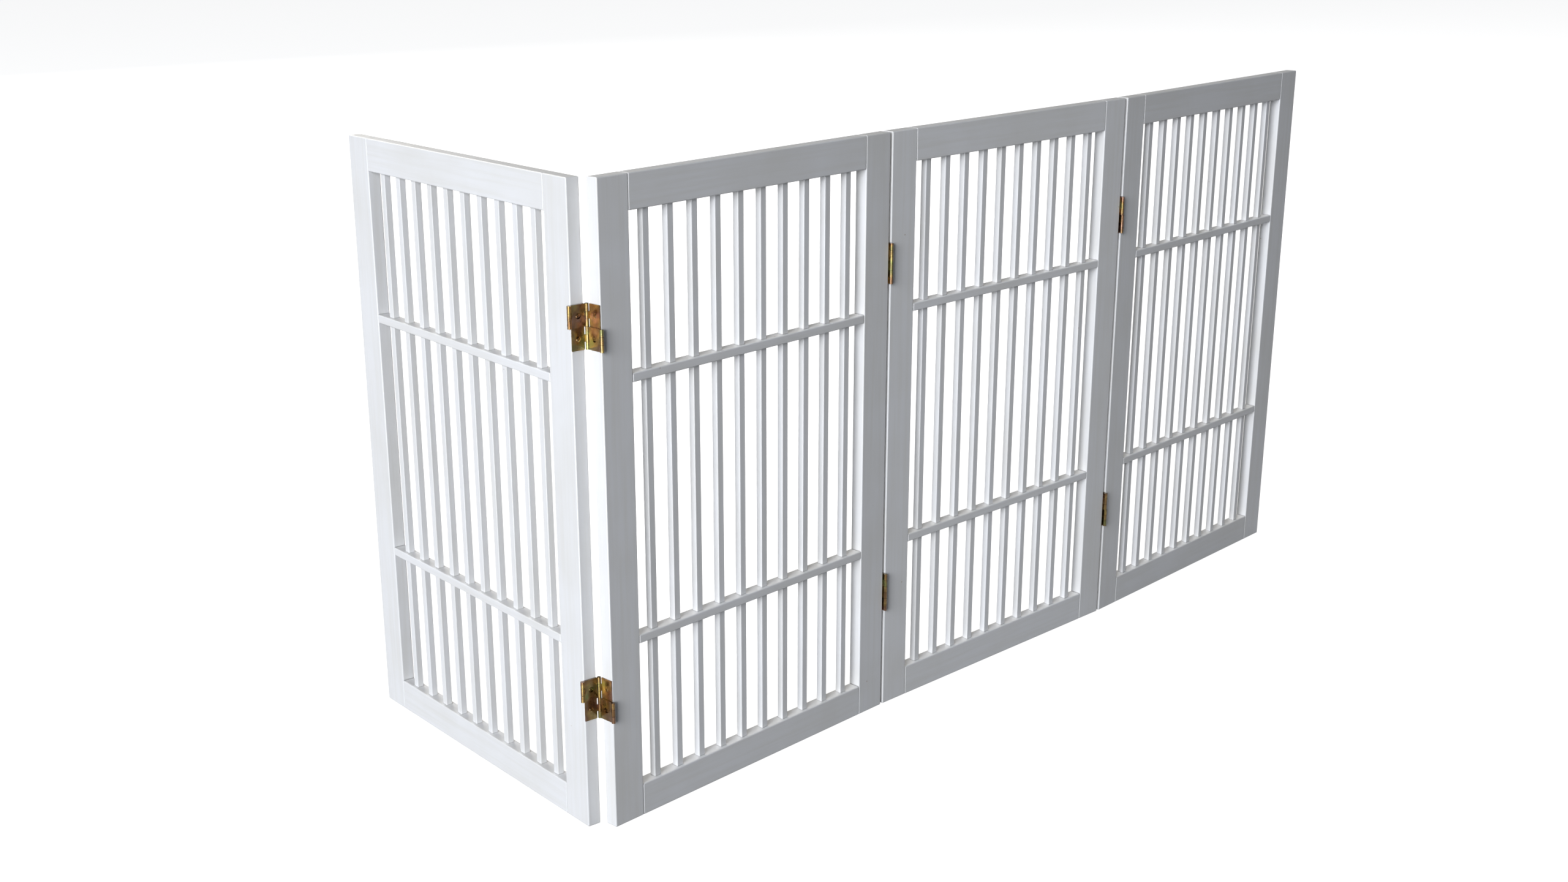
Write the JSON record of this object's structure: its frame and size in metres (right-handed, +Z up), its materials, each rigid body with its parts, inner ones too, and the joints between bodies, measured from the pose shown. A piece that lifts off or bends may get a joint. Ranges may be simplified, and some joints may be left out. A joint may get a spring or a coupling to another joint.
{
  "type": "folding pet gate",
  "caption": "Free-standing folding pet gate: slatted wooden panels in white paint, joined edge to edge by double-action hinges that fold both ways.",
  "frame": {"origin": "middle of the second panel's foot, at the floor", "axes": "+X along the second panel towards the third, +Y to its back, +Z up"},
  "size_m": [1.5613, 0.5538, 0.8],
  "materials": {
    "white_paint": "satin white paint",
    "bare_wood": "bare, glued",
    "yellow_zinc": "yellow zinc plating",
    "screw_steel": "yellow zinc plating"
  },
  "bodies": {
    "panel_1": {"panel_1_left_stile": "white_paint", "panel_1_right_stile": "white_paint", "panel_1_bottom_rail": "white_paint", "panel_1_lower_mid_rail": "white_paint", "panel_1_upper_mid_rail": "white_paint", "panel_1_top_rail": "white_paint", "panel_1_slats": "white_paint", "panel_1_dowels": "bare_wood", "hinge_1_left_leaves": "yellow_zinc", "hinge_1_left_screws": "screw_steel"},
    "panel_2": {"panel_2_left_stile": "white_paint", "panel_2_right_stile": "white_paint", "panel_2_bottom_rail": "white_paint", "panel_2_lower_mid_rail": "white_paint", "panel_2_upper_mid_rail": "white_paint", "panel_2_top_rail": "white_paint", "panel_2_slats": "white_paint", "panel_2_dowels": "bare_wood", "hinge_1_right_leaves": "yellow_zinc", "hinge_1_right_screws": "screw_steel", "hinge_2_left_leaves": "yellow_zinc", "hinge_2_left_screws": "screw_steel"},
    "panel_3": {"panel_3_left_stile": "white_paint", "panel_3_right_stile": "white_paint", "panel_3_bottom_rail": "white_paint", "panel_3_lower_mid_rail": "white_paint", "panel_3_upper_mid_rail": "white_paint", "panel_3_top_rail": "white_paint", "panel_3_slats": "white_paint", "panel_3_dowels": "bare_wood", "hinge_2_right_leaves": "yellow_zinc", "hinge_2_right_screws": "screw_steel", "hinge_3_left_leaves": "yellow_zinc", "hinge_3_left_screws": "screw_steel"},
    "panel_4": {"panel_4_left_stile": "white_paint", "panel_4_right_stile": "white_paint", "panel_4_bottom_rail": "white_paint", "panel_4_lower_mid_rail": "white_paint", "panel_4_upper_mid_rail": "white_paint", "panel_4_top_rail": "white_paint", "panel_4_slats": "white_paint", "panel_4_dowels": "bare_wood", "hinge_3_right_leaves": "yellow_zinc", "hinge_3_right_screws": "screw_steel"},
    "hinge_1_upper": {"hinge_1_upper_flaps": "yellow_zinc", "hinge_1_upper_pins": "screw_steel"},
    "hinge_1_lower": {"hinge_1_lower_flaps": "yellow_zinc", "hinge_1_lower_pins": "screw_steel"},
    "hinge_2_upper": {"hinge_2_upper_flaps": "yellow_zinc", "hinge_2_upper_pins": "screw_steel"},
    "hinge_2_lower": {"hinge_2_lower_flaps": "yellow_zinc", "hinge_2_lower_pins": "screw_steel"},
    "hinge_3_upper": {"hinge_3_upper_flaps": "yellow_zinc", "hinge_3_upper_pins": "screw_steel"},
    "hinge_3_lower": {"hinge_3_lower_flaps": "yellow_zinc", "hinge_3_lower_pins": "screw_steel"}
  },
  "joints": [
    {"name": "panel_1_back_fold", "type": "hinge", "parent": "panel_2", "child": "hinge_1_upper", "pos_m": [-0.256, 0.0121, 0.4], "axis": [0, 0, 1], "range_deg": [-80.6, 97.4]},
    {"name": "panel_1_front_fold", "type": "hinge", "parent": "hinge_1_upper", "child": "panel_1", "pos_m": [-0.28, 0.01522, 0.4], "axis": [0, 0, 1], "range_deg": [0, 178]},
    {"name": "hinge_1_lower_turn", "type": "hinge", "parent": "panel_2", "child": "hinge_1_lower", "pos_m": [-0.256, -0.0121, 0.4], "axis": [0, 0, 1], "range_deg": [0, 178]},
    {"name": "panel_3_back_fold", "type": "hinge", "parent": "panel_2", "child": "hinge_2_lower", "pos_m": [0.256, 0.0121, 0.4], "axis": [0, 0, 1], "range_deg": [0, 120]},
    {"name": "panel_3_front_fold", "type": "hinge", "parent": "hinge_2_lower", "child": "panel_3", "pos_m": [0.256, -0.0121, 0.4], "axis": [0, 0, 1], "range_deg": [-175.9, 2.1]},
    {"name": "hinge_2_upper_turn", "type": "hinge", "parent": "panel_2", "child": "hinge_2_upper", "pos_m": [0.256, -0.0121, 0.4], "axis": [0, 0, 1], "range_deg": [-175.9, 2.1]},
    {"name": "panel_4_front_fold", "type": "hinge", "parent": "panel_3", "child": "hinge_3_upper", "pos_m": [0.76766, -0.03086, 0.4], "axis": [0, 0, -1], "range_deg": [0, 178]},
    {"name": "panel_4_back_fold", "type": "hinge", "parent": "hinge_3_upper", "child": "panel_4", "pos_m": [0.76854, -0.00668, 0.4], "axis": [0, 0, -1], "range_deg": [-175, 3]},
    {"name": "hinge_3_lower_turn", "type": "hinge", "parent": "panel_3", "child": "hinge_3_lower", "pos_m": [0.76854, -0.00668, 0.4], "axis": [0, 0, -1], "range_deg": [-175, 3]}
  ],
  "couplings": [
    {"joint": "hinge_1_lower_turn", "follows": "panel_1_front_fold", "ratio": 1},
    {"joint": "hinge_2_upper_turn", "follows": "panel_3_front_fold", "ratio": 1},
    {"joint": "hinge_3_lower_turn", "follows": "panel_4_back_fold", "ratio": 1}
  ]
}
